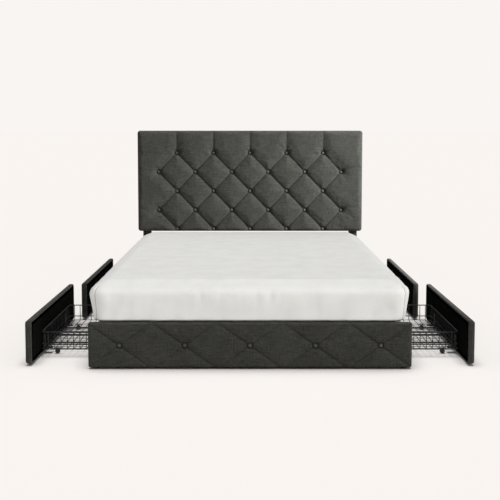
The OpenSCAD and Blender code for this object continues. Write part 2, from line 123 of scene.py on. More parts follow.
class BedStage(bpy.types.PropertyGroup):
    """Camera, floor and lights."""

    camera_distance: length("Camera distance", "From the footboard to the camera", 4.027, 2.0, 10.0)
    camera_height: length("Camera height", "Height of the camera above the floor", 1.181, 0.3, 3.0)
    camera_tilt: number(
        "Camera tilt", "How far the camera looks down", math.radians(4.18), 0.0, 0.5, subtype="ANGLE")
    lens: number("Lens", "Focal length in millimetres", 59.78, 20.0, 200.0)
    shift: number("Lens shift", "Upward shift of the frame", -0.1192, -0.3, 0.3)
    floor: colour("Floor", "Plain pale floor", (0.93, 0.9, 0.875))
    surround: colour("Surround", "Pale surround of the studio", (0.947, 0.913, 0.888))
    ambient: number("Ambient", "Share of the surround's light that reaches the bed", 0.3, 0.0, 2.0)


# ---- workshop helpers ----


def sizes():
    """The bed's size settings."""
    return bpy.context.scene.bed_sizes


def clear_selection():
    """Nothing selected, nothing active."""
    if bpy.context.object and bpy.context.object.mode != "OBJECT":
        bpy.ops.object.mode_set(mode="OBJECT")
    bpy.ops.object.select_all(action="DESELECT")
    bpy.context.view_layer.objects.active = None


def pick(piece):
    """Only this piece selected and active."""
    clear_selection()
    piece.select_set(True)
    bpy.context.view_layer.objects.active = piece


def edit(piece):
    """Opens a piece in edit mode."""
    pick(piece)
    bpy.ops.object.mode_set(mode="EDIT")


def settle(piece):
    """Puts a piece's place, turn and scale into its mesh."""
    pick(piece)
    bpy.ops.object.transform_apply(location=True, rotation=True, scale=True)


def points(piece):
    """A mesh's points as an array."""
    flat = np.empty(len(piece.data.vertices) * 3)
    piece.data.vertices.foreach_get("co", flat)
    return flat.reshape(-1, 3)


def set_points(piece, co):
    """Moves a mesh's points to an array of places."""
    piece.data.vertices.foreach_set("co", np.asarray(co, float).reshape(-1))
    piece.data.update()


def put_in_scene(name, data):
    """A new object of some data, in the scene."""
    made = bpy.data.objects.new(name, data)
    bpy.context.scene.collection.objects.link(made)
    return made


def dress(piece, name, body, material, slot, *nodes):
    """Names a finished piece, gives it its material and body, and the nodes that it replaces; the slot is not
    used.
    """
    piece.name = name
    piece.data.name = name
    piece.data.materials.clear()
    piece.data.materials.append(material)
    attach(piece, body)
    if nodes:
        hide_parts(*nodes)
    return piece


def smoothstep(t):
    """Eases from 0 to 1."""
    t = np.clip(t, 0.0, 1.0)
    return t * t * (3 - 2 * t)


def bend(along, flat_half, radius):
    """Arc length from the middle of a panel, turned over an edge: (distance out, drop)."""
    past = np.clip(np.abs(along) - flat_half, 0.0, radius * math.pi / 2)
    angle = past / radius
    out = np.where(np.abs(along) > flat_half, flat_half + radius * np.sin(angle), np.abs(along))
    return np.sign(along) * out, radius * (1 - np.cos(angle))


def round_corners(a, b, half_a, half_b, radius):
    """Moves the points of a rectangle so that its corners are round."""
    da = np.clip(np.abs(a) - (half_a - radius), 0.0, radius) / radius
    db = np.clip(np.abs(b) - (half_b - radius), 0.0, radius) / radius
    new_a = np.abs(a) - radius * da * (1 - np.sqrt(1 - db * db / 2))
    new_b = np.abs(b) - radius * db * (1 - np.sqrt(1 - da * da / 2))
    return np.sign(a) * new_a, np.sign(b) * new_b


def grid_counts(width, height, edge, step):
    """Half lengths of a panel's cloth laid flat, and how many cells it has each way."""
    half_u = width / 2 - edge + edge * math.pi / 2
    half_v = height / 2 - edge + edge * math.pi / 2
    return half_u, half_v, round(2 * half_u / step), round(2 * half_v / step)


def bent_grid(width, height, edge, corner, step, upright=False):
    """A grid whose outer points turn over a round edge: its piece, and each point's place and drop."""
    half_u, half_v, cells_u, cells_v = grid_counts(width, height, edge, step)
    clear_selection()
    bpy.ops.mesh.primitive_grid_add(
        x_subdivisions=cells_u, y_subdivisions=cells_v, size=2, rotation=(upright * math.pi / 2, 0, 0))
    piece = bpy.context.object
    piece.scale = (half_u, half_v, 1)
    settle(piece)
    co = points(piece)
    a, drop_a = bend(co[:, 0], width / 2 - edge, edge)
    b, drop_b = bend(co[:, 2 if upright else 1], height / 2 - edge, edge)
    a, b = round_corners(a, b, width / 2, height / 2, corner)
    return piece, a, b, np.minimum(np.hypot(drop_a, drop_b), edge)


def panel_grid(width, height, edge, step):
    """The cloth of a panel, turned over its edge. Its face looks along -Y."""
    panel, x, z, drop = bent_grid(width, height, edge, edge, step, upright=True)
    set_points(panel, np.stack([x, drop, z], axis=1))
    return panel


def face_outwards():
    """Turns all faces of the mesh in edit mode outwards, and leaves edit mode."""
    bpy.ops.mesh.select_all(action="SELECT")
    bpy.ops.mesh.normals_make_consistent(inside=False)
    bpy.ops.object.mode_set(mode="OBJECT")


def select_rim():
    """Selects the open edge of the mesh in edit mode."""
    bpy.ops.mesh.select_mode(type="EDGE")
    bpy.ops.mesh.select_all(action="DESELECT")
    bpy.ops.mesh.select_non_manifold()


def pull_rim(offset):
    """Extrudes the open edge by an offset."""
    select_rim()
    bpy.ops.mesh.extrude_region_move(TRANSFORM_OT_translate={"value": offset})


def shrink_rim(size, centre):
    """Extrudes the open edge towards a centre."""
    select_rim()
    bpy.ops.mesh.extrude_region_move()
    bpy.ops.transform.resize(value=size, center_override=centre)


def close_panel_back(panel, width, height, edge, thickness, board_front, flange, back_edge):
    """Carries a panel's cover round its board's edge onto the back, and shuts it in front of the board."""
    edit(panel)
    side = thickness - edge - back_edge
    for _ in range(3):
        pull_rim((0, side / 3, 0))
    turns = 4
    for k in range(turns):
        old, new = math.pi / 2 * k / turns, math.pi / 2 * (k + 1) / turns
        old_in, new_in = back_edge * (1 - math.cos(old)), back_edge * (1 - math.cos(new))
        pull_rim((0, back_edge * (math.sin(new) - math.sin(old)), 0))
        narrower = (width - 2 * new_in) / (width - 2 * old_in)
        lower = (height - 2 * new_in) / (height - 2 * old_in)
        bpy.ops.transform.resize(value=(narrower, 1, lower), center_override=(0, thickness, 0))
    shrink_rim((1 - 2 * flange / width, 1, 1 - 2 * flange / height), (0, thickness, 0))
    pull_rim((0, board_front - thickness, 0))
    select_rim()
    bpy.ops.mesh.edge_face_add()
    face_outwards()


def from_segment(x, z, start, end):
    """Distance of each point from a seam, and how far along the seam it lies, from 0 to 1."""
    run = np.array(end) - np.array(start)
    share = ((x - start[0]) * run[0] + (z - start[1]) * run[1]) / (run @ run)
    share = np.clip(share, 0.0, 1.0)
    return np.hypot(x - start[0] - share * run[0], z - start[1] - share * run[1]), share


def sink_panel(panel, sink, edge, thickness):
    """Draws a panel's cloth down to the depth of its quilting, and gives back its shadow along the seams."""
    co = points(panel)
    depth, crease = sink(co[:, 0], co[:, 2])
    co[:, 1] = np.minimum(co[:, 1] + depth * (1 - co[:, 1] / edge), thickness * 0.9)
    set_points(panel, co)
    return crease


def let_cloth_puff(piece, held, pressure, growth, furthest):
    """Lets cloth puff up and wrinkle where it isn't held, and gives back how far its points moved."""
    before = points(piece)
    group = piece.vertex_groups.new(name="held")
    level = np.round(np.clip(held, 0, 1) * HOLD_LEVELS).astype(int)
    for share in range(1, HOLD_LEVELS + 1):
        group.add(np.nonzero(level == share)[0].tolist(), share / HOLD_LEVELS, "REPLACE")
    pick(piece)
    cloth = piece.modifiers.new("Cloth", "CLOTH")
    handling = {
        "quality": 3, "mass": 0.25, "tension_stiffness": 12, "compression_stiffness": 12,
        "shear_stiffness": 4, "bending_stiffness": 0.4, "use_pressure": True,
        "uniform_pressure_force": pressure, "vertex_group_mass": "held",
        "shrink_min": -growth, "shrink_max": -growth}
    for key, value in handling.items():
        setattr(cloth.settings, key, value)
    cloth.settings.effector_weights.gravity = 0
    cloth.collision_settings.use_collision = False
    cloth.collision_settings.use_self_collision = False
    scene = bpy.context.scene
    for frame_number in range(1, PUFF_FRAMES + 1):
        scene.frame_set(frame_number)
    bpy.ops.object.modifier_apply(modifier=cloth.name)
    scene.frame_set(1)
    moved = points(piece) - before
    distance = np.linalg.norm(moved, axis=1)
    moved *= np.minimum(1.0, furthest / np.maximum(distance, 1e-9))[:, None]
    return moved


def puffed(width, height, edge, thickness, step, sink, puffing):
    """How far a quilted panel's cloth puffs, as a grid of offsets found on a coarse copy."""
    panel = panel_grid(width, height, edge, step)
    crease = sink_panel(panel, sink, edge, thickness)
    out = points(panel)[:, 1] > edge * 0.96
    held = np.maximum(smoothstep(crease * 2.2), out.astype(float))
    moved = let_cloth_puff(panel, held, **puffing)
    _, _, cells_u, cells_v = grid_counts(width, height, edge, step)
    bpy.data.objects.remove(panel)
    return moved.reshape(cells_v + 1, cells_u + 1, 3)


def stretch_grid(coarse, cells_u, cells_v):
    """Offsets of a coarse grid, carried over to a finer one."""
    u = np.linspace(0, coarse.shape[1] - 1.0001, cells_u + 1)
    v = np.linspace(0, coarse.shape[0] - 1.0001, cells_v + 1)
    i, j = u.astype(int), v.astype(int)
    fu, fv = (u - i)[None, :, None], (v - j)[:, None, None]
    low = coarse[j][:, i] * (1 - fu) + coarse[j][:, i + 1] * fu
    high = coarse[j + 1][:, i] * (1 - fu) + coarse[j + 1][:, i + 1] * fu
    return (low * (1 - fv) + high * fv).reshape(-1, 3)


def button_places(buttons):
    """Centre of each button of a CAD node, as (x, z)."""
    widest = 0.04
    found = []
    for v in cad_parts[buttons].data.vertices:
        place = (v.co.x, v.co.z)
        near = [group for group in found if math.dist(group[0], place) < widest]
        if near:
            near[0].append(place)
        else:
            found.append([place])
    return [tuple((np.min(group, axis=0) + np.max(group, axis=0)) / 2) for group in found]


def padded_panel(width, height, thickness, edge, board_front, step, back_edge, sink=None, puffing=None):
    """A padded cover round a board, at the origin, facing -Y; sink gives its depth over (x, z)."""
    panel = panel_grid(width, height, edge, step)
    if sink is not None:
        crease = sink_panel(panel, sink, edge, thickness)
        # The crease attribute carries painted shade to the cover's material.
        layer = panel.data.attributes.new("crease", "FLOAT", "POINT")
        layer.data.foreach_set("value", crease)
    if puffing is not None:
        _, _, cells_u, cells_v = grid_counts(width, height, edge, step)
        moved = puffed(width, height, edge, thickness, step * 2, sink, puffing)
        set_points(panel, points(panel) + stretch_grid(moved, cells_u, cells_v))
    close_panel_back(panel, width, height, edge, thickness, board_front, edge + 0.004, back_edge)
    pick(panel)
    bpy.ops.object.shade_smooth_by_angle(angle=math.radians(50))
    return panel


# ---- finishes ----


def node(nodes, kind, **settings):
    """Adds a shader node of a kind."""
    made = nodes.new("ShaderNode" + kind)
    for key, value in settings.items():
        setattr(made, key, value)
    return made


class Finish:
    """A procedural material, made of patterns on a piece's own coordinates."""

    def __init__(self, name, base, roughness, **sockets):
        self.material = bpy.data.materials.new(name)
        self.material.use_nodes = True
        self.nodes = self.material.node_tree.nodes
        self.shader = self.nodes["Principled BSDF"].inputs
        self.shader["Base Color"].default_value = (*base, 1)
        self.shader["Roughness"].default_value = roughness
        for key, value in sockets.items():
            self.shader[key.replace("_", " ")].default_value = value

    def join(self, socket, value):
        """Joins a pattern to a socket, or sets the socket to a value."""
        if isinstance(value, bpy.types.NodeSocket):
            self.material.node_tree.links.new(value, socket)
        else:
            socket.default_value = value

    def add(self, kind, inputs=None, **settings):
        """Adds a shader node of a kind, with some of its inputs joined or set."""
        made = node(self.nodes, kind, **settings)
        for key, value in (inputs or {}).items():
            self.join(made.inputs[key], value)
        return made

    def paint(self, colour_pattern):
        """Gives the piece its colour."""
        self.join(self.shader["Base Color"], colour_pattern)

    def placed(self, stretch=(1, 1, 1)):
        """Object coordinates, stretched."""
        where = self.add("TexCoord").outputs["Object"]
        return self.add("Mapping", {"Vector": where, "Scale": stretch}).outputs["Vector"]

    def facing(self):
        """Which way the surface faces, as its X, Y and Z."""
        return self.add("SeparateXYZ", {"Vector": self.add("TexCoord").outputs["Normal"]}).outputs

    def grain(self, scale, detail=3.0, stretch=(1, 1, 1), roughness=0.5):
        """Noise on the object, from 0 to 1."""
        return self.add("TexNoise", {
            "Vector": self.placed(stretch), "Scale": scale, "Detail": detail, "Roughness": roughness,
        }).outputs["Fac"]

    def sum_of(self, operation, a, b):
        """One sum on two numbers or patterns."""
        return self.add("Math", {0: a, 1: b}, operation=operation).outputs["Value"]

    def plus(self, a, b):
        """One pattern added to another."""
        return self.sum_of("ADD", a, b)

    def times(self, a, b):
        """One pattern multiplied by another."""
        return self.sum_of("MULTIPLY", a, b)

    def between(self, value, low, high, first, second):
        """A colour that runs from the first to the second while a value runs from low to high."""
        made = self.add("ValToRGB", {"Fac": value})
        for stop, position, tint in zip(made.color_ramp.elements, (low, high), (first, second)):
            stop.position = position
            stop.color = (*tint, 1)
        return made.outputs["Color"]

    def yarns(self, period):
        """Height of a plain weave on any face: yarns crossing along X, Y and Z, mixed by where it faces."""
        waves = []
        for axis in "XYZ":
            waves.append(self.add("TexWave", {
                "Vector": self.placed(), "Scale": 2 * math.pi / (20 * period), "Distortion": 0.6,
                "Detail": 1.0, "Detail Scale": 0.15}, wave_type="BANDS", bands_direction=axis).outputs["Fac"])
        facing = self.facing()
        total = 0.0
        for i, axis in enumerate("XYZ"):
            share = self.sum_of("ABSOLUTE", facing[axis], 0.0)
            crossing = self.times(waves[(i + 1) % 3], waves[(i + 2) % 3])
            total = self.plus(total, self.times(share, crossing))
        return total

    def bump(self, height, strength, distance):
        """Fine relief from a height."""
        made = self.add("Bump", {"Strength": strength, "Distance": distance, "Height": height})
        self.join(self.shader["Normal"], made.outputs["Normal"])


def crease_shadow(cover):
    """Painted shade on a cover: darker the nearer it lies to a seam or a button."""
    return cover.times(cover.add("Attribute", attribute_name="crease").outputs["Fac"], 0.9)


def rim_shadow(button):
    """Painted shade on a button: pale on its crown, which faces along Y, and dark down its sides."""
    facing = button.facing()["Y"]
    crown = button.times(facing, facing)
    return button.sum_of("SUBTRACT", 1.0, button.times(crown, crown))


def woven_finish(name, dark, light, period, sheen, gloss, shadow=crease_shadow):
    """A woven cover with mixed yarns, uneven along both directions, and painted shade from its shadow
    pattern.
    """
    cover = Finish(name, dark, 0.95, Sheen_Weight=sheen, Sheen_Roughness=0.5, Specular_IOR_Level=gloss)
    fleck = cover.grain(260, 2.0)
    across = cover.grain(90, 2.0, (0.25, 0.25, 4.0))
    upright = cover.grain(90, 2.0, (4.0, 4.0, 0.25))
    cloud = cover.grain(7, 3.0)
    mix = cover.plus(cover.plus(across, upright), fleck)
    mix = cover.sum_of("DIVIDE", cover.plus(mix, cover.times(cloud, 0.35)), 3.35)
    weave = cover.yarns(period)
    mix = cover.plus(mix, cover.times(weave, 0.06))
    tint = cover.between(mix, 0.38, 0.66, dark, light)
    # Painted shade: the colour is multiplied towards near black (0.02) where the shadow pattern is high.
    shaded = cover.add("Mix", {"Factor": shadow(cover), "A": tint, "B": (0.02, 0.02, 0.02, 1)},
                       data_type="RGBA", blend_type="MULTIPLY")
    cover.paint(shaded.outputs["Result"])
    cover.bump(cover.plus(weave, cover.times(fleck, 0.6)), 0.55, 0.0009)
    return cover.material


def cotton_finish(name, base, period, strength):
    """Plain white cotton with faint soft creases."""
    cotton = Finish(name, base, 0.85, Sheen_Weight=0.25, Sheen_Roughness=0.6, Specular_IOR_Level=0.25)
    cotton.paint(cotton.between(cotton.grain(9, 3.0), 0.3, 0.6, lighter(base, 0.93), base))
    crease = cotton.grain(24, 4.0, (1.0, 1.0, 0.35))
    cotton.bump(cotton.plus(cotton.times(cotton.yarns(period), 0.08), crease), strength, 0.004)
    return cotton.material


def coated_finish(name, base, roughness):
    """Powder coat: fine orange peel and a slightly uneven gloss."""
    coat = Finish(name, base, roughness, Specular_IOR_Level=0.45)
    peel, patch = coat.grain(900, 2.0), coat.grain(30, 3.0)
    coat.paint(coat.between(patch, 0.35, 0.75, base, lighter(base, 1.7, 0.004)))
    spread = coat.add("MapRange", {
        "Value": patch, "To Min": roughness - 0.08, "To Max": roughness + 0.12})
    coat.join(coat.shader["Roughness"], spread.outputs["Result"])
    coat.bump(peel, 0.25, 0.0003)
    return coat.material


def wood_finish(name, base, along):
    """Wood with its grain along X, Y or Z."""
    stretch = [0.6 if axis == along else 14 for axis in "XYZ"]
    wood = Finish(name, base, 0.55, Specular_IOR_Level=0.35)
    broad, fine = wood.grain(5, 4.0, stretch, 0.6), wood.grain(30, 3.0, stretch, 0.7)
    mix = wood.times(wood.plus(broad, fine), 0.5)
    wood.paint(wood.between(mix, 0.36, 0.62, lighter(base, 0.55), base))
    wood.bump(fine, 0.3, 0.0006)
    return wood.material


def moulded_finish(name, base, roughness):
    """Moulded plastic with a fine spark-eroded grain."""
    plastic = Finish(name, base, roughness, Specular_IOR_Level=0.4)
    spark = plastic.grain(1400, 2.0)
    plastic.paint(plastic.between(spark, 0.3, 0.8, base, lighter(base, 1.5, 0.006)))
    plastic.bump(spark, 0.3, 0.0002)
    return plastic.material


def lighter(base, share, more=0.0):
    """A colour made lighter, or darker when the share is below 1."""
    return tuple(value * share + more for value in base)


def finish(name):
    """A material of this bed by its name, made once."""
    made = bpy.data.materials.get(name)
    if made:
        return made
    c = bpy.context.scene.bed_colours
    recipes = {
        "charcoal_cover": (woven_finish, c.cloth_dark, c.cloth_light, 0.0016, 0.1, 0.1),
        # Painted highlight: the button's light yarn is 2.2 times the cloth's, so its crown shows paler;
        # rim_shadow paints shade down its sides.
        "button_cover": (
            woven_finish, c.cloth_dark, lighter(c.cloth_light, 2.2), 0.001, 0.1, 0.5, rim_shadow),
        "black_dust_cloth": (woven_finish, c.dust_cloth, lighter(c.dust_cloth, 2.2), 0.0008, 0.0, 0.0),
        "white_cotton": (cotton_finish, c.sheet, 0.0009, 0.35),
        # Grey thread: partly the seam's own thread, partly painted shade of the fold beside the seam.
        "overlock_thread": (cotton_finish, lighter(c.sheet, 0.4), 0.0015, 0.6),
        "mattress_ticking": (cotton_finish, c.ticking, 0.0016, 0.2),
        "back_cloth": (woven_finish, lighter(c.dust_cloth, 2.2), lighter(c.dust_cloth, 5), 0.0012, 0.05, 0.1),
        "black_webbing": (woven_finish, (0.012,) * 3, (0.04,) * 3, 0.002, 0.05, 0.2),
        "black_powder_coat": (coated_finish, c.steel, 0.42),
        "black_wire_coat": (coated_finish, c.steel, 0.36),
        "bolt_steel": (coated_finish, (0.04, 0.04, 0.042), 0.3),
        "slat_wood": (wood_finish, c.slat, "X"),
        "board_plywood": (wood_finish, c.board, "X"),
        "black_lacquered_post": (wood_finish, (0.022, 0.021, 0.02), "Z"),
        "black_moulding": (moulded_finish, c.plastic, 0.55),
        "wheel_nylon": (moulded_finish, c.plastic, 0.4),
    }
    make, *values = recipes[name]
    return make(name, *values)


# ---- upholstery ----


def pillow(away):
    """Depth of a padded valley from 1 at its bottom to 0 at its far side, for a distance from 0 to 1."""
    away = np.clip(away, 0.0, 1.0)
    return 1 - (1 - (1 - away) ** 2) ** 0.6


def headboard_seams(places):
    """Seams between neighbouring buttons, and pleats from the top row up to the top edge.

    A seam is its two ends, its depth at each end as a share of a button's, and how much it rises between.
    """
    pairs = [(a, b) for i, a in enumerate(places) for b in places[i + 1:] if abs(a[1] - b[1]) > 0.02]
    reach = min(math.dist(a, b) for a, b in pairs) * 1.1
    seams = [(a, b, 1.0, 1.0, 0.42) for a, b in pairs if math.dist(a, b) < reach]
    top_row = max(z for _, z in places)
    seams += [(p, (p[0], HEADBOARD[1].z), 0.75, 0.22, 0.1) for p in places if abs(p[1] - top_row) < 0.02]
    return seams


def gathers(x, z, places, height):
    """Small folds that fan out from each button and fade away from it."""
    button, fade = 0.013, 0.028
    total = np.zeros_like(x)
    for i, (bx, bz) in enumerate(places):
        away = np.hypot(x - bx, z - bz)
        turn = np.arctan2(z - bz, x - bx)
        folds = np.cos(9 * turn + 1.7 * i) + 0.6 * np.cos(14 * turn - 2.3 * i)
        total += height * folds * np.exp(-away / fade) * smoothstep((away - button) / 0.012)
    return total


def quilt(places, seams, depth, reach, pit, pit_reach, fold_height, centre):
    """Depth of a quilted cover below its highest point, over (x, z) about the panel's centre.

    A seam draws the cover down as far as reach from it. A button lies in a flat pit, and draws the cover
    down as far as pit_reach from that. The shadow is painted shade for the cover's material: 1 round a button
    and less along a seam.
    """
    seam_width, seam_shadow, ring = 0.0042, 0.7, 0.009

    def sink(x, z):
        """Depth and shadow at each point."""
        x, z = x + centre[0], z + centre[1]
        deepest = np.zeros_like(x)
        # crease gathers the painted shade: a ring round each button and a line along each seam
        crease = np.zeros_like(x)
        for start, end, first, last, rise in seams:
            away, share = from_segment(x, z, start, end)
            here = first + (last - first) * share - rise * 4 * share * (1 - share)
            deepest = np.maximum(deepest, here * pillow(away / reach))
            crease = np.maximum(crease, seam_shadow * here * np.exp(-((away / seam_width) ** 2)))
        for bx, bz in places:
            away = np.hypot(x - bx, z - bz)
            deepest = np.maximum(deepest, pillow((away - pit) / pit_reach))
            crease = np.maximum(crease, smoothstep((pit + ring - away) / ring))
        return depth * deepest + gathers(x, z, places, fold_height), crease
    return sink


def quilted_board(part, step, edge, back_edge, puffing, quilting):
    """A quilted cover round the board of the headboard or the footboard."""
    low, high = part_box(f"{part}_pad")
    centre = ((low.x + high.x) / 2, (low.z + high.z) / 2)
    board_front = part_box(f"{part}_board")[0].y - low.y
    cover = padded_panel(high.x - low.x, high.z - low.z, high.y - low.y, edge, board_front, step,
                         back_edge, quilt(centre=centre, **quilting), puffing)
    cover.location = (centre[0], low.y, centre[1])
    settle(cover)
    dress(cover, f"{part}_cover", "bed_frame", finish("charcoal_cover"), "upholstery", f"{part}_pad")
    return cover


class BED_OT_headboard_cover(bpy.types.Operator):
    """Diamond-tufted cover of the headboard, with pleats up to its top edge"""

    bl_idname = "bed.headboard_cover"
    bl_label = "Headboard cover"

    def execute(self, context):
        s = sizes()
        places = button_places("headboard_buttons")
        cover = quilted_board(
            "headboard", s.cover_step, s.headboard_edge, back_edge=0.005,
            puffing={"pressure": 0.8, "growth": 0.008, "furthest": 0.006},
            quilting={"places": places, "seams": headboard_seams(places), "depth": s.headboard_sink,
                      "reach": 0.064, "pit": 0.0135, "pit_reach": 0.05, "fold_height": 0.0012})
        return {"FINISHED"}


def footboard_seams(places):
    """Seams that cross at each button: those that fall from left to right are the deeper ones."""
    low, high = FOOTBOARD
    falling_seam, rising_seam = (1.0, 0.6, 0.08), (0.6, 0.3, 0.04)
    pitch = places[1][0] - places[0][0]
    middle = (low.z + high.z) / 2
    seams = []
    for bx, bz in places:
        for side in (-1, 1):
            for end in (low.z, high.z):
                falling = (end < middle) == (side > 0)
                seams.append(((bx, bz), (bx + side * pitch * 0.47, end),
                              *(falling_seam if falling else rising_seam)))
    return seams


class BED_OT_footboard_cover(bpy.types.Operator):
    """Quilted cover of the footboard, with seams that cross at its buttons"""

    bl_idname = "bed.footboard_cover"
    bl_label = "Footboard cover"

    def execute(self, context):
        s = sizes()
        places = sorted(button_places("footboard_buttons"))
        cover = quilted_board(
            "footboard", s.cover_step * 0.8, s.footboard_edge, back_edge=0.004,
            puffing={"pressure": 0.8, "growth": 0.006, "furthest": 0.003},
            quilting={"places": places, "seams": footboard_seams(places), "depth": s.footboard_sink,
                      "reach": 0.03, "pit": 0.0115, "pit_reach": 0.036, "fold_height": 0.0004})
        return {"FINISHED"}


class BED_OT_drawer_covers(bpy.types.Operator):
    """Smooth padded covers of the four drawer fronts"""

    bl_idname = "bed.drawer_covers"
    bl_label = "Drawer covers"

    def execute(self, context):
        s = sizes()
        for drawer in DRAWERS:
            low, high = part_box(f"{drawer}_front_pad")
            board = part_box(f"{drawer}_front_board")
            facing = 1 if "right" in drawer else -1
            thickness = high.x - low.x
            board_t = board[1].x - board[0].x
            cover = padded_panel(high.y - low.y, high.z - low.z, thickness, s.front_edge,
                                 thickness - board_t, s.cover_step * 1.6, back_edge=0.007)
            cover.rotation_euler.z = facing * math.pi / 2
            outer = high.x if facing > 0 else low.x
            cover.location = (outer, (low.y + high.y) / 2, (low.z + high.z) / 2)
            settle(cover)
            dress(cover, f"{drawer}_front_cover", f"{drawer}_drawer", finish("charcoal_cover"),
                  "upholstery", f"{drawer}_front_pad")
        return {"FINISHED"}


# ---- bedding ----


def bedding_shell(low, high, edge, corner, bulge, step, hem):
    """A cover with a round top edge, swelling sides and a hem turned under; it looks up."""
    ring_height, ease, foot_step = 0.008, 0.03, 0.018
    half = Vector(((high.x - low.x) / 2, (high.y - low.y) / 2))
    centre = Vector(((high.x + low.x) / 2, (high.y + low.y) / 2))
    shell, x, y, drop = bent_grid(2 * half.x, 2 * half.y, edge, corner, step)
    set_points(shell, np.stack([x, y, high.z - drop], axis=1))
    edit(shell)
    side = high.z - edge - low.z
    rings = max(3, round(side / ring_height))
    for _ in range(rings):
        pull_rim((0, 0, -side / rings))
    shrink_rim((1 - hem / half.x, 1 - hem / half.y, 1), (0, 0, low.z))
    face_outwards()
    co = points(shell)
    inner = np.stack([np.clip(co[:, 0], -half.x + corner, half.x - corner),
                      np.clip(co[:, 1], -half.y + corner, half.y - corner)], axis=1)
    out = co[:, :2] - inner
    away = np.linalg.norm(out, axis=1)
    out = out / np.maximum(away, 1e-6)[:, None]
    edge_share = smoothstep((away - corner + ease) / ease)
    co[:, 0] += out[:, 0] * bulge(co[:, 2]) * edge_share
    at_foot = smoothstep(-co[:, 1] / half.y)
    co[:, 1] += out[:, 1] * bulge(co[:, 2], SIDE_STEP + foot_step * at_foot) * edge_share
    co[:, 0] += centre.x
    co[:, 1] += centre.y
    set_points(shell, co)
    return shell, centre, half


def keep_clear(co):
    """Keeps the sheet's sides off the closed drawer fronts, and its foot end off the footboard."""
    past_mattress, above_front, off_footboard = 0.0065, 0.0045, 0.0015
    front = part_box("foot_left_front_pad")
    closed = abs(MATTRESS[0].x) + past_mattress
    slack = 4 * np.maximum(0.0, co[:, 2] - front[1].z - above_front)
    co[:, 0] = np.clip(co[:, 0], -closed - slack, closed + slack)
    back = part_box("footboard_back_cloth")[1].y + off_footboard
    co[:, 1] = np.maximum(co[:, 1], back - 2 * slack)


def waver(x, y, z):
    """A soft random wave over space, about 0."""
    return noise.noise(Vector((x, y, z)))


def ruffle(shell, centre, half, top, low):
    """Soft upright folds on the sides, drawn wrinkles at the corners and slow waves on top."""
    fold, fine_fold, corner_fold, lip_fold, top_wave = 0.0042, 0.0018, 0.009, 0.02, 0.0022
    rim, rim_fade, corner_fade, lip_drop, lip_width = 0.02, 0.08, 0.16, 0.05, 0.045
    co = points(shell)
    for p in co:
        x, y, z = p[0] - centre.x, p[1] - centre.y, p[2]
        in_x, in_y = half.x - abs(x), half.y - abs(y)
        on_side = min(1.0, max(0.0, 1 - (min(in_x, in_y) - rim) / rim_fade))
        near_corner = math.exp(-math.hypot(in_x, in_y) / corner_fade)
        down = (top - z) / (top - low)
        upright = waver(x * 9, y * 9, z * 1.1 + 5)
        fine = waver(x * 26, y * 26, z * 3 + 11)
        slant = waver((abs(x) + abs(y)) * 16, (x - y) * 3, z * 14)
        push = on_side * (fold * upright + fine_fold * fine) * (0.5 + down)
        push = max(0.0005 - SHEET_INSET, push + near_corner * on_side * corner_fold * slant)
        lip = math.exp(-(((z - top + lip_drop) / lip_width) ** 2)) * on_side
        pull = max(0.0, waver(x * 4 + 31, y * 4, 3.0)) * waver(x * 42, y * 42, z * 2)
        push += lip_fold * lip * pull
        out = Vector(((x / half.x) ** 9, (y / half.y) ** 9))
        if out.length > 1e-9:
            out.normalize()
        p[0] += out.x * push
        p[1] += out.y * push
        wave = waver(x * 3.1, y * 2.3, 2.0) + 0.4 * waver(x * 9, y * 7, 7.0)
        p[2] += (1 - on_side) * top_wave * wave
    keep_clear(co)
    set_points(shell, co)


def mattress_swell(inset):
    """How far the mattress's side stands out at a height: little between the drawer fronts, more above."""
    least = 0.004
    more = sizes().mattress_bulge - SIDE_STEP - least
    front_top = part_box("foot_left_front_pad")[1].z

    def swell(z, step=SIDE_STEP):
        """Stands out by a step just over the fronts, and by more towards the top."""
        over_front = step * smoothstep((z - front_top - 0.003) / 0.01)
        return least + over_front + more * smoothstep((z - front_top) / 0.15) - inset
    return swell


class BED_OT_mattress(bpy.types.Operator):
    """Foam mattress in its ticking, under the sheet"""

    bl_idname = "bed.mattress"
    bl_label = "Mattress"

    def execute(self, context):
        mattress, _, _ = bedding_shell(
            *MATTRESS, sizes().mattress_edge - 0.003, MATTRESS_CORNER, mattress_swell(SHEET_INSET),
            step=0.03, hem=0.02)
        edit(mattress)
        select_rim()
        bpy.ops.mesh.edge_face_add()
        face_outwards()
        bpy.ops.object.shade_smooth_by_angle(angle=math.radians(60))
        dress(mattress, "foam_mattress", "bed_frame", finish("mattress_ticking"), "mattress_ticking",
              "mattress")
        return {"FINISHED"}


class BED_OT_fitted_sheet(bpy.types.Operator):
    """White fitted sheet, stretched over the mattress and tucked under its edge"""

    bl_idname = "bed.fitted_sheet"
    bl_label = "Fitted sheet"

    def execute(self, context):
        low, high = SHEET
        sheet, centre, half = bedding_shell(
            low, high, sizes().mattress_edge, SHEET_CORNER, mattress_swell(0.0), step=0.012, hem=0.03)
        ruffle(sheet, centre, half, high.z, low.z)
        pick(sheet)
        wall = sheet.modifiers.new("Cloth thickness", "SOLIDIFY")
        wall.thickness, wall.offset = 0.0012, -1.0
        bpy.ops.object.modifier_apply(modifier=wall.name)
        bpy.ops.object.shade_smooth()
        dress(sheet, "fitted_sheet_cotton", "bed_frame", finish("white_cotton"), "sheet_cotton",
              "fitted_sheet")
        return {"FINISHED"}


def round_curve(name, roundness):
    """A curve that is round across; each line on it gives its own radius."""
    curve = bpy.data.curves.new(name, "CURVE")
    curve.dimensions = "3D"
    curve.bevel_depth = 1.0
    curve.bevel_resolution = roundness
    curve.use_fill_caps = True
    return curve


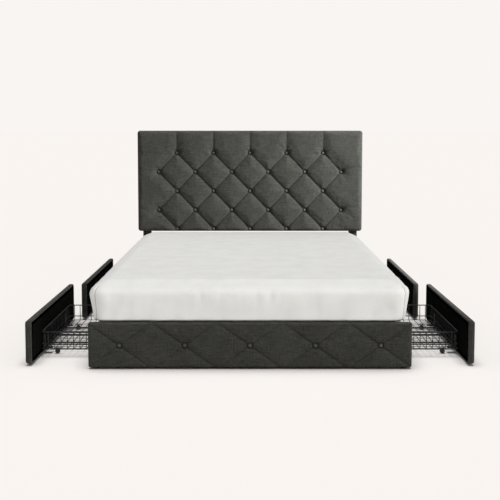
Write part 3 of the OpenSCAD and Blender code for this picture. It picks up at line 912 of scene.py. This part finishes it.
def lay_line(curve, path, radius, closed=False):
    """Adds one cord or wire to a curve."""
    spline = curve.splines.new("POLY")
    spline.points.add(len(path) - 1)
    for point, place in zip(spline.points, path):
        point.co = (*place, 1)
        point.radius = radius
    spline.use_cyclic_u = closed


def curve_to_mesh(curve):
    """A curve's cords or wires as one mesh."""
    pick(put_in_scene(curve.name, curve))
    bpy.ops.object.convert(target="MESH")
    bpy.ops.object.shade_smooth_by_angle(angle=math.radians(60))
    return bpy.context.object


def corner_line(sheet, side_x, side_y, turn, lift):
    """A line down one corner of the sheet, on its cloth; turn is how far round the corner it lies."""
    low, high = SHEET
    stops = 56
    reach = SHEET_CORNER + 0.06
    corner = [(high[i] + low[i]) / 2 + side * ((high[i] - low[i]) / 2 - SHEET_CORNER)
              for i, side in enumerate((side_x, side_y))]
    facing = Vector((side_x * math.cos(turn), side_y * math.sin(turn), 0))
    path = []
    for k in range(stops):
        z = low.z + 0.004 + (high.z - low.z - 0.03) * k / (stops - 1)
        start = Vector((corner[0], corner[1], z)) + facing * reach
        struck, place, normal, _ = sheet.ray_cast(start, -facing)
        if struck:
            path.append(place + normal * lift)
    return path


class BED_OT_sheet_seams(bpy.types.Operator):
    """Corner seams of the fitted sheet, each a rolled edge with a grey line beside it: overlock thread that
    also stands as painted shade of the fold by the seam
    """

    bl_idname = "bed.sheet_seams"
    bl_label = "Sheet seams"

    def execute(self, context):
        sheet = bpy.data.objects["fitted_sheet_cotton"]
        corners = [(side_x, side_y) for side_x in (-1, 1) for side_y in (-1, 1)]
        for name, radius, turn, lift, cloth in (
                ("sheet_corner_seams", 0.0032, 50, 0.0, "white_cotton"),
                # the grey line is thread and painted fold shade together
                ("sheet_corner_thread_and_fold_shade", 0.0016, 58, -0.0004, "overlock_thread")):
            curve = round_curve(name, 2)
            for corner in corners:
                lay_line(curve, corner_line(sheet, *corner, math.radians(turn), lift), radius)
            dress(curve_to_mesh(curve), name, "bed_frame", finish(cloth), "sheet_cotton")
        return {"FINISHED"}


# ---- wire baskets ----


def bent_path(corners, radius, closed, steps=4):
    """Points along straight runs joined by round bends."""
    pts = [Vector(c) for c in corners]
    count = len(pts)
    path = []
    for i, p in enumerate(pts):
        if not closed and i in (0, count - 1):
            path.append(p)
            continue
        before = (pts[i - 1] - p).normalized()
        after = (pts[(i + 1) % count] - p).normalized()
        middle = p + (before + after) * radius
        for k in range(steps + 1):
            angle = math.pi / 2 * k / steps
            path.append(middle - after * radius * math.cos(angle) - before * radius * math.sin(angle))
    return path


def basket_wires(low, high, bend_r):
    """All the wires of one basket, as a mesh."""
    rim_r, hoop_r, thin_r = 0.003, 0.0025, 0.0019
    pitch, middle_hoop, above_floor, weld = 0.033, 0.34, 0.008, 0.0004
    curve = round_curve("basket", 1)
    floor_z = low.z + hoop_r
    loops = [(high.z - rim_r, rim_r, 0.0), (low.z + (high.z - low.z) * middle_hoop, hoop_r, 0.0005),
             (floor_z + above_floor, hoop_r, 0.0005)]
    for z, r, inset in loops:
        i = inset + r
        corners = [(low.x + i, low.y + i, z), (high.x - i, low.y + i, z),
                   (high.x - i, high.y - i, z), (low.x + i, high.y - i, z)]
        lay_line(curve, bent_path(corners, bend_r, True), r, closed=True)
    inner = 2 * hoop_r + thin_r
    thin_z = low.z + 2 * hoop_r + thin_r - weld
    top = high.z - rim_r
    for axis in (0, 1):
        other = 1 - axis
        start, end = low[axis] + inner, high[axis] - inner
        width = high[other] - low[other]
        count = math.floor((width - pitch) / pitch)
        for k in range(count):
            place = (low[other] + high[other]) / 2 + (k - (count - 1) / 2) * pitch
            drop = thin_z + axis * 2 * thin_r * 0.9
            run = [(start, top), (start, drop), (end, drop), (end, top)]
            corners = [(a, place, z) if axis == 0 else (place, a, z) for a, z in run]
            lay_line(curve, bent_path(corners, bend_r * 0.6, False), thin_r)
    for k in range(3):
        y = low.y + (high.y - low.y) * (k + 1) / 4
        lay_line(curve, [(low.x + inner, y, floor_z), (high.x - inner, y, floor_z)], hoop_r)
    return curve_to_mesh(curve)


class BED_OT_baskets(bpy.types.Operator):
    """Coated wire baskets with bent wires, one in each drawer"""

    bl_idname = "bed.baskets"
    bl_label = "Wire baskets"

    def execute(self, context):
        for drawer in DRAWERS:
            floor_low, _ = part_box(f"{drawer}_basket_floor")
            walls_low, walls_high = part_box(f"{drawer}_basket_walls")
            low = Vector((walls_low.x, walls_low.y, floor_low.z))
            basket = basket_wires(low, walls_high, sizes().wire_bend)
            dress(basket, f"{drawer}_basket", f"{drawer}_drawer", finish("black_wire_coat"), "basket_wire",
                  f"{drawer}_basket_floor", f"{drawer}_basket_walls")
        return {"FINISHED"}


# ---- staples ----


STAPLE_SIZE = (0.011, 0.0005, 0.0011)
STAPLE_SPACING = 0.055


def staple_row(start, end):
    """Places along a line for staples that lie along it: the centre and the length direction of each."""
    run = Vector(end) - Vector(start)
    count = max(2, round(run.length / STAPLE_SPACING))
    return [(Vector(start) + run * (k + 0.5) / count, run.normalized()) for k in range(count)]


def one_staple():
    """The crown of a wire staple, with its edges eased."""
    clear_selection()
    bpy.ops.mesh.primitive_cube_add(size=1)
    staple = bpy.context.object
    staple.scale = STAPLE_SIZE
    settle(staple)
    edit(staple)
    bpy.ops.mesh.select_all(action="SELECT")
    bpy.ops.mesh.bevel(offset=0.0002, segments=1)
    bpy.ops.object.mode_set(mode="OBJECT")
    return staple


class BED_OT_staples(bpy.types.Operator):
    """Wire staples that hold the dust cloths on the backs of the headboard and footboard"""

    bl_idname = "bed.staples"
    bl_label = "Staples"

    def execute(self, context):
        places = []
        for cloth, margin in (("headboard_back_cloth", 0.014), ("footboard_back_cloth", 0.01)):
            low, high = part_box(cloth)
            left, right = low.x + margin, high.x - margin
            bottom, top = low.z + margin, high.z - margin
            corners = [(left, high.y, bottom), (right, high.y, bottom),
                       (right, high.y, top), (left, high.y, top)]
            for k in range(4):
                places += staple_row(corners[k], corners[(k + 1) % 4])
        staples = one_staple()
        faces = [tuple(face.vertices) for face in staples.data.polygons]
        shape = [corner.co.copy() for corner in staples.data.vertices]
        out = Vector((0, 1, 0))
        spots, sides = [], []
        for centre, along in places:
            across = along.cross(out)
            first = len(spots)
            spots += [tuple(centre + along * c.x + out * (c.y + 0.0001) + across * c.z) for c in shape]
            sides += [tuple(first + i for i in face) for face in faces]
        staples.data.clear_geometry()
        staples.data.from_pydata(spots, [], sides)
        edit(staples)
        face_outwards()
        dress(staples, "back_staples", "bed_frame", finish("bolt_steel"), "zinc_bolts")
        return {"FINISHED"}


# ---- finishes on the frame ----


WEARS = {
    "board_plywood": ("headboard_board", "footboard_board"),
    "button_cover": ("headboard_buttons", "footboard_buttons"),
    "back_cloth": ("headboard_back_cloth", "footboard_back_cloth"),
    "black_dust_cloth": ("front_board",),
    "black_lacquered_post": ("headboard_posts",),
    "bolt_steel": ("headboard_bolts", "frame_bolts", "screws"),
    "black_powder_coat": (
        "side_rail_left", "side_rail_right", "centre_rail", "foot_rail", "head_rail",
        "corner_brackets", "support_legs", "brackets", "forks"),
    "black_moulding": ("feet",),
    "wheel_nylon": ("outer_wheels", "inner_wheels"),
    "slat_wood": ("slats",),
    "black_webbing": ("slat_straps",),
}


class BED_OT_frame_finishes(bpy.types.Operator):
    """Finishes on the boards, steel, slats, feet and wheels that keep their own shapes"""

    bl_idname = "bed.frame_finishes"
    bl_label = "Frame finishes"

    def execute(self, context):
        finish_of = {part: coat for coat, parts in WEARS.items() for part in parts}
        for name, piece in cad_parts.items():
            plain = name
            for drawer in DRAWERS:
                plain = plain.removeprefix(drawer + "_")
            if plain in finish_of:
                piece.data.materials.clear()
                piece.data.materials.append(finish(finish_of[plain]))
        return {"FINISHED"}


# ---- stage ----


def light_from(name, kind, aim, power, state, pieces, **settings):
    """A soft light that shines from a direction, on some pieces ("INCLUDE") or all but them ("EXCLUDE")."""
    light = bpy.data.lights.new(name, kind)
    for key, value in {"energy": power, **settings}.items():
        setattr(light, key, value)
    lamp = put_in_scene(name, light)
    lamp.rotation_euler = Vector(aim).to_track_quat("Z", "Y").to_euler()
    lit = bpy.data.collections.new(name + "_pieces")
    for piece in pieces:
        lit.objects.link(piece)
    for entry in lit.collection_objects:
        entry.light_linking.link_state = state
    lamp.light_linking.receiver_collection = lit
    return lamp


class BED_OT_stage(bpy.types.Operator):
    """Camera, plain pale floor and soft studio lights"""

    bl_idname = "bed.stage"
    bl_label = "Stage"

    def execute(self, context):
        s = context.scene.bed_stage
        camera_data = bpy.data.cameras.new("camera")
        camera_data.lens = s.lens
        camera_data.sensor_width = 36
        camera_data.shift_y = s.shift
        camera = put_in_scene("camera", camera_data)
        camera.location = (0, FOOTBOARD[0].y - s.camera_distance, s.camera_height)
        camera.rotation_euler = (math.pi / 2 - s.camera_tilt, 0, 0)
        context.scene.camera = camera
        context.scene.view_settings.view_transform = "Standard"
        floor = self.floor(s)
        self.surround(s)
        white = [bpy.data.objects[name] for name in (
            "foam_mattress", "fitted_sheet_cotton", "sheet_corner_seams", "sheet_corner_thread_and_fold_shade")]
        place = Vector((3.0, -0.2, 2.0))
        key = light_from("key", "AREA", place - Vector((0.1, HEADBOARD[0].y, 0.85)), 82, "EXCLUDE",
                         [floor, *white], shape="SQUARE", size=0.8, spread=math.radians(90))
        key.location = place
        for name, aim, power, spread, state, pieces in (
                ("front", (0.95, -0.75, 0.75), 2.45, 25, "EXCLUDE", [floor]),
                ("left", (-1, 0, 0.35), 0.9, 60, "INCLUDE", white),
                ("top", (0.1, -0.2, 1), 0.9, 80, "EXCLUDE", [floor]),
                ("floor_light", (0, 0, 1), 2.3, 35, "INCLUDE", [floor])):
            light_from(name, "SUN", aim, power, state, pieces, angle=math.radians(spread))
        return {"FINISHED"}

    def surround(self, s):
        """Pale surround: the camera sees it as bright as the floor, and the bed gets less light from it."""
        world = bpy.data.worlds.new("studio")
        world.use_nodes = True
        nodes, links = world.node_tree.nodes, world.node_tree.links
        seen, lit = nodes["Background"], node(nodes, "Background")
        for light, strength in ((seen, 1.0), (lit, s.ambient)):
            light.inputs["Color"].default_value = (*s.surround, 1)
            light.inputs["Strength"].default_value = strength
        path, mix = node(nodes, "LightPath"), node(nodes, "MixShader")
        links.new(path.outputs["Is Camera Ray"], mix.inputs["Fac"])
        links.new(lit.outputs["Background"], mix.inputs[1])
        links.new(seen.outputs["Background"], mix.inputs[2])
        links.new(mix.outputs["Shader"], nodes["World Output"].inputs["Surface"])
        bpy.context.scene.world = world

    def floor(self, s):
        """Plain pale floor that runs on past the view."""
        clear_selection()
        bpy.ops.mesh.primitive_plane_add(size=600, location=(0, 0, 0))
        floor = bpy.context.object
        settle(floor)
        floor.name = "studio_floor"
        floor.data.materials.append(Finish("studio_paper", s.floor, 1.0, Specular_IOR_Level=0.0).material)
        return floor


# ---- panel and run ----


STEPS = (
    BED_OT_headboard_cover, BED_OT_footboard_cover, BED_OT_drawer_covers, BED_OT_mattress,
    BED_OT_fitted_sheet, BED_OT_sheet_seams, BED_OT_baskets, BED_OT_staples,
    BED_OT_frame_finishes, BED_OT_stage,
)


class BED_PT_bed(bpy.types.Panel):
    """Steps and settings of the bed"""

    bl_label = "Bed"
    bl_idname = "BED_PT_bed"
    bl_space_type = "VIEW_3D"
    bl_region_type = "UI"
    bl_category = "Bed"

    def draw(self, context):
        for step in STEPS:
            self.layout.operator(step.bl_idname)
        for group in (context.scene.bed_sizes, context.scene.bed_colours, context.scene.bed_stage):
            for key in group.bl_rna.properties.keys():
                if key not in ("rna_type", "name"):
                    self.layout.prop(group, key)


SETTINGS = {"bed_sizes": BedSizes, "bed_colours": BedColours, "bed_stage": BedStage}


def register():
    """Adds the settings, the steps and the panel."""
    for kind in (*SETTINGS.values(), *STEPS, BED_PT_bed):
        bpy.utils.register_class(kind)
    for name, kind in SETTINGS.items():
        setattr(bpy.types.Scene, name, bpy.props.PointerProperty(type=kind))


def unregister():
    """Takes them away again."""
    for name in SETTINGS:
        delattr(bpy.types.Scene, name)
    for kind in (BED_PT_bed, *reversed(STEPS), *SETTINGS.values()):
        bpy.utils.unregister_class(kind)


def main():
    """Makes the whole bed."""
    register()
    for step in STEPS:
        group, name = step.bl_idname.split(".")
        getattr(getattr(bpy.ops, group), name)()
    clear_selection()


if __name__ == "__main__":
    main()
